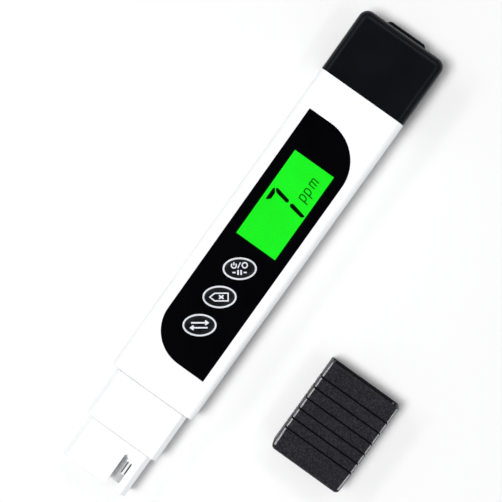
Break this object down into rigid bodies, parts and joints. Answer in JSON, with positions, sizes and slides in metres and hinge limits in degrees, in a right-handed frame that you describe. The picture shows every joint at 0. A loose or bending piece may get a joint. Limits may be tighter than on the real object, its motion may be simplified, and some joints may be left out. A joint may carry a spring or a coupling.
{
  "type": "digital water tester",
  "caption": "Pocket pen water tester: white housing with a black front panel, green lit display, oval keys, black battery cap, slotted probe end and a loose ribbed probe cap.",
  "frame": {"origin": "middle of the rear shell's flat resting face, half way along the white housing", "axes": "+Y along the pen towards the battery cap, +Z out of the display face, +X across the pen towards the loose probe cap"},
  "size_m": [0.0736, 0.1541, 0.0155],
  "materials": {
    "white_housing": "glossy injection-moulded white ABS",
    "white_nose": "satin-gloss white ABS",
    "black_cap": "satin black plastic",
    "charcoal_cap": "matte, finely textured charcoal plastic",
    "black_panel": "gloss black back-printed polycarbonate overlay",
    "clear_window": "clear polished acrylic",
    "lcd": "green backlit liquid crystal cell",
    "silver_ring": "bright silver bezel",
    "key_black": "glossy black translucent silicone with a hard coat",
    "plunger_plastic": "black nylon",
    "switch_base": "black glass-filled nylon",
    "tinplate": "tinned steel",
    "light_guide": "milky acrylic light guide",
    "led": "green chip LED in clear resin",
    "zebra_rubber": "striped conductive silicone",
    "frame_white": "matte white ABS",
    "board_green": "green solder mask on glass-epoxy board",
    "chip_black": "black moulded epoxy",
    "crystal_steel": "nickel plated can",
    "ceramic_tan": "tan ceramic body with tinned ends",
    "screw_steel": "zinc plated steel",
    "spring_brass": "gold flashed spring brass",
    "cell_steel": "nickel plated steel can",
    "seal_rubber": "black nitrile",
    "seal_grey": "grey silicone",
    "pin_metal": "polished platinum-coloured plating on titanium",
    "sensor_steel": "stainless steel sheath"
  },
  "bodies": {
    "housing": {"front_shell": "white_housing", "rear_shell": "white_housing", "label_panel": "black_panel", "display_window": "clear_window", "key_bezels": "silver_ring", "tact_switch_bases": "switch_base", "tact_switch_covers": "tinplate", "lcd_glass": "lcd", "backlight_guide": "light_guide", "backlight_leds": "led", "lcd_frame": "frame_white", "zebra_connector": "zebra_rubber", "main_board": "board_green", "board_screws": "screw_steel", "shell_screws": "screw_steel", "control_chip": "chip_black", "memory_chip": "chip_black", "clock_crystal": "crystal_steel", "capacitors": "ceramic_tan", "resistors": "chip_black", "probe_collar": "white_nose", "collar_gasket": "seal_rubber", "probe_skirt": "white_nose", "electrode_pin_left": "pin_metal", "electrode_pin_right": "pin_metal", "temperature_sensor": "sensor_steel", "pin_seal_rings": "seal_grey", "neck_seal": "seal_rubber", "contact_leaf_positive": "spring_brass", "contact_leaf_negative": "spring_brass"},
    "on_off_button": {"on_off_key": "key_black", "on_off_plunger": "plunger_plastic"},
    "clear_button": {"clear_key": "key_black", "clear_plunger": "plunger_plastic"},
    "mode_button": {"mode_key": "key_black", "mode_plunger": "plunger_plastic"},
    "battery_drawer": {"battery_cap": "black_cap", "battery_carrier": "frame_white", "cell_link_strip": "spring_brass", "button_cell_inner": "cell_steel", "button_cell_outer": "cell_steel"},
    "clip": {"pocket_clip": "black_cap"},
    "loose_probe_cap": {"probe_cap": "charcoal_cap"}
  },
  "joints": [
    {"name": "on_off_press", "type": "slide", "parent": "housing", "child": "on_off_button", "axis": [0, 0, -1], "range_m": [0, 0.0004], "stiffness_N_per_m": 1500},
    {"name": "clear_press", "type": "slide", "parent": "housing", "child": "clear_button", "axis": [0, 0, -1], "range_m": [0, 0.0004], "stiffness_N_per_m": 1500},
    {"name": "mode_press", "type": "slide", "parent": "housing", "child": "mode_button", "axis": [0, 0, -1], "range_m": [0, 0.0004], "stiffness_N_per_m": 1500},
    {"name": "battery_cap_pull", "type": "slide", "parent": "housing", "child": "battery_drawer", "axis": [0, 1, 0], "range_m": [0, 0.034]},
    {"name": "clip_flex", "type": "hinge", "parent": "battery_drawer", "child": "clip", "pos_m": [0, 0.0693, 0.0013], "axis": [1, 0, 0], "range_deg": [0, 6], "stiffness_Nm_per_rad": 1.4},
    {"name": "probe_cap_pull", "type": "slide", "parent": "housing", "child": "loose_probe_cap", "axis": [0, 1, 0], "range_m": [-0.035, 0]}
  ]
}
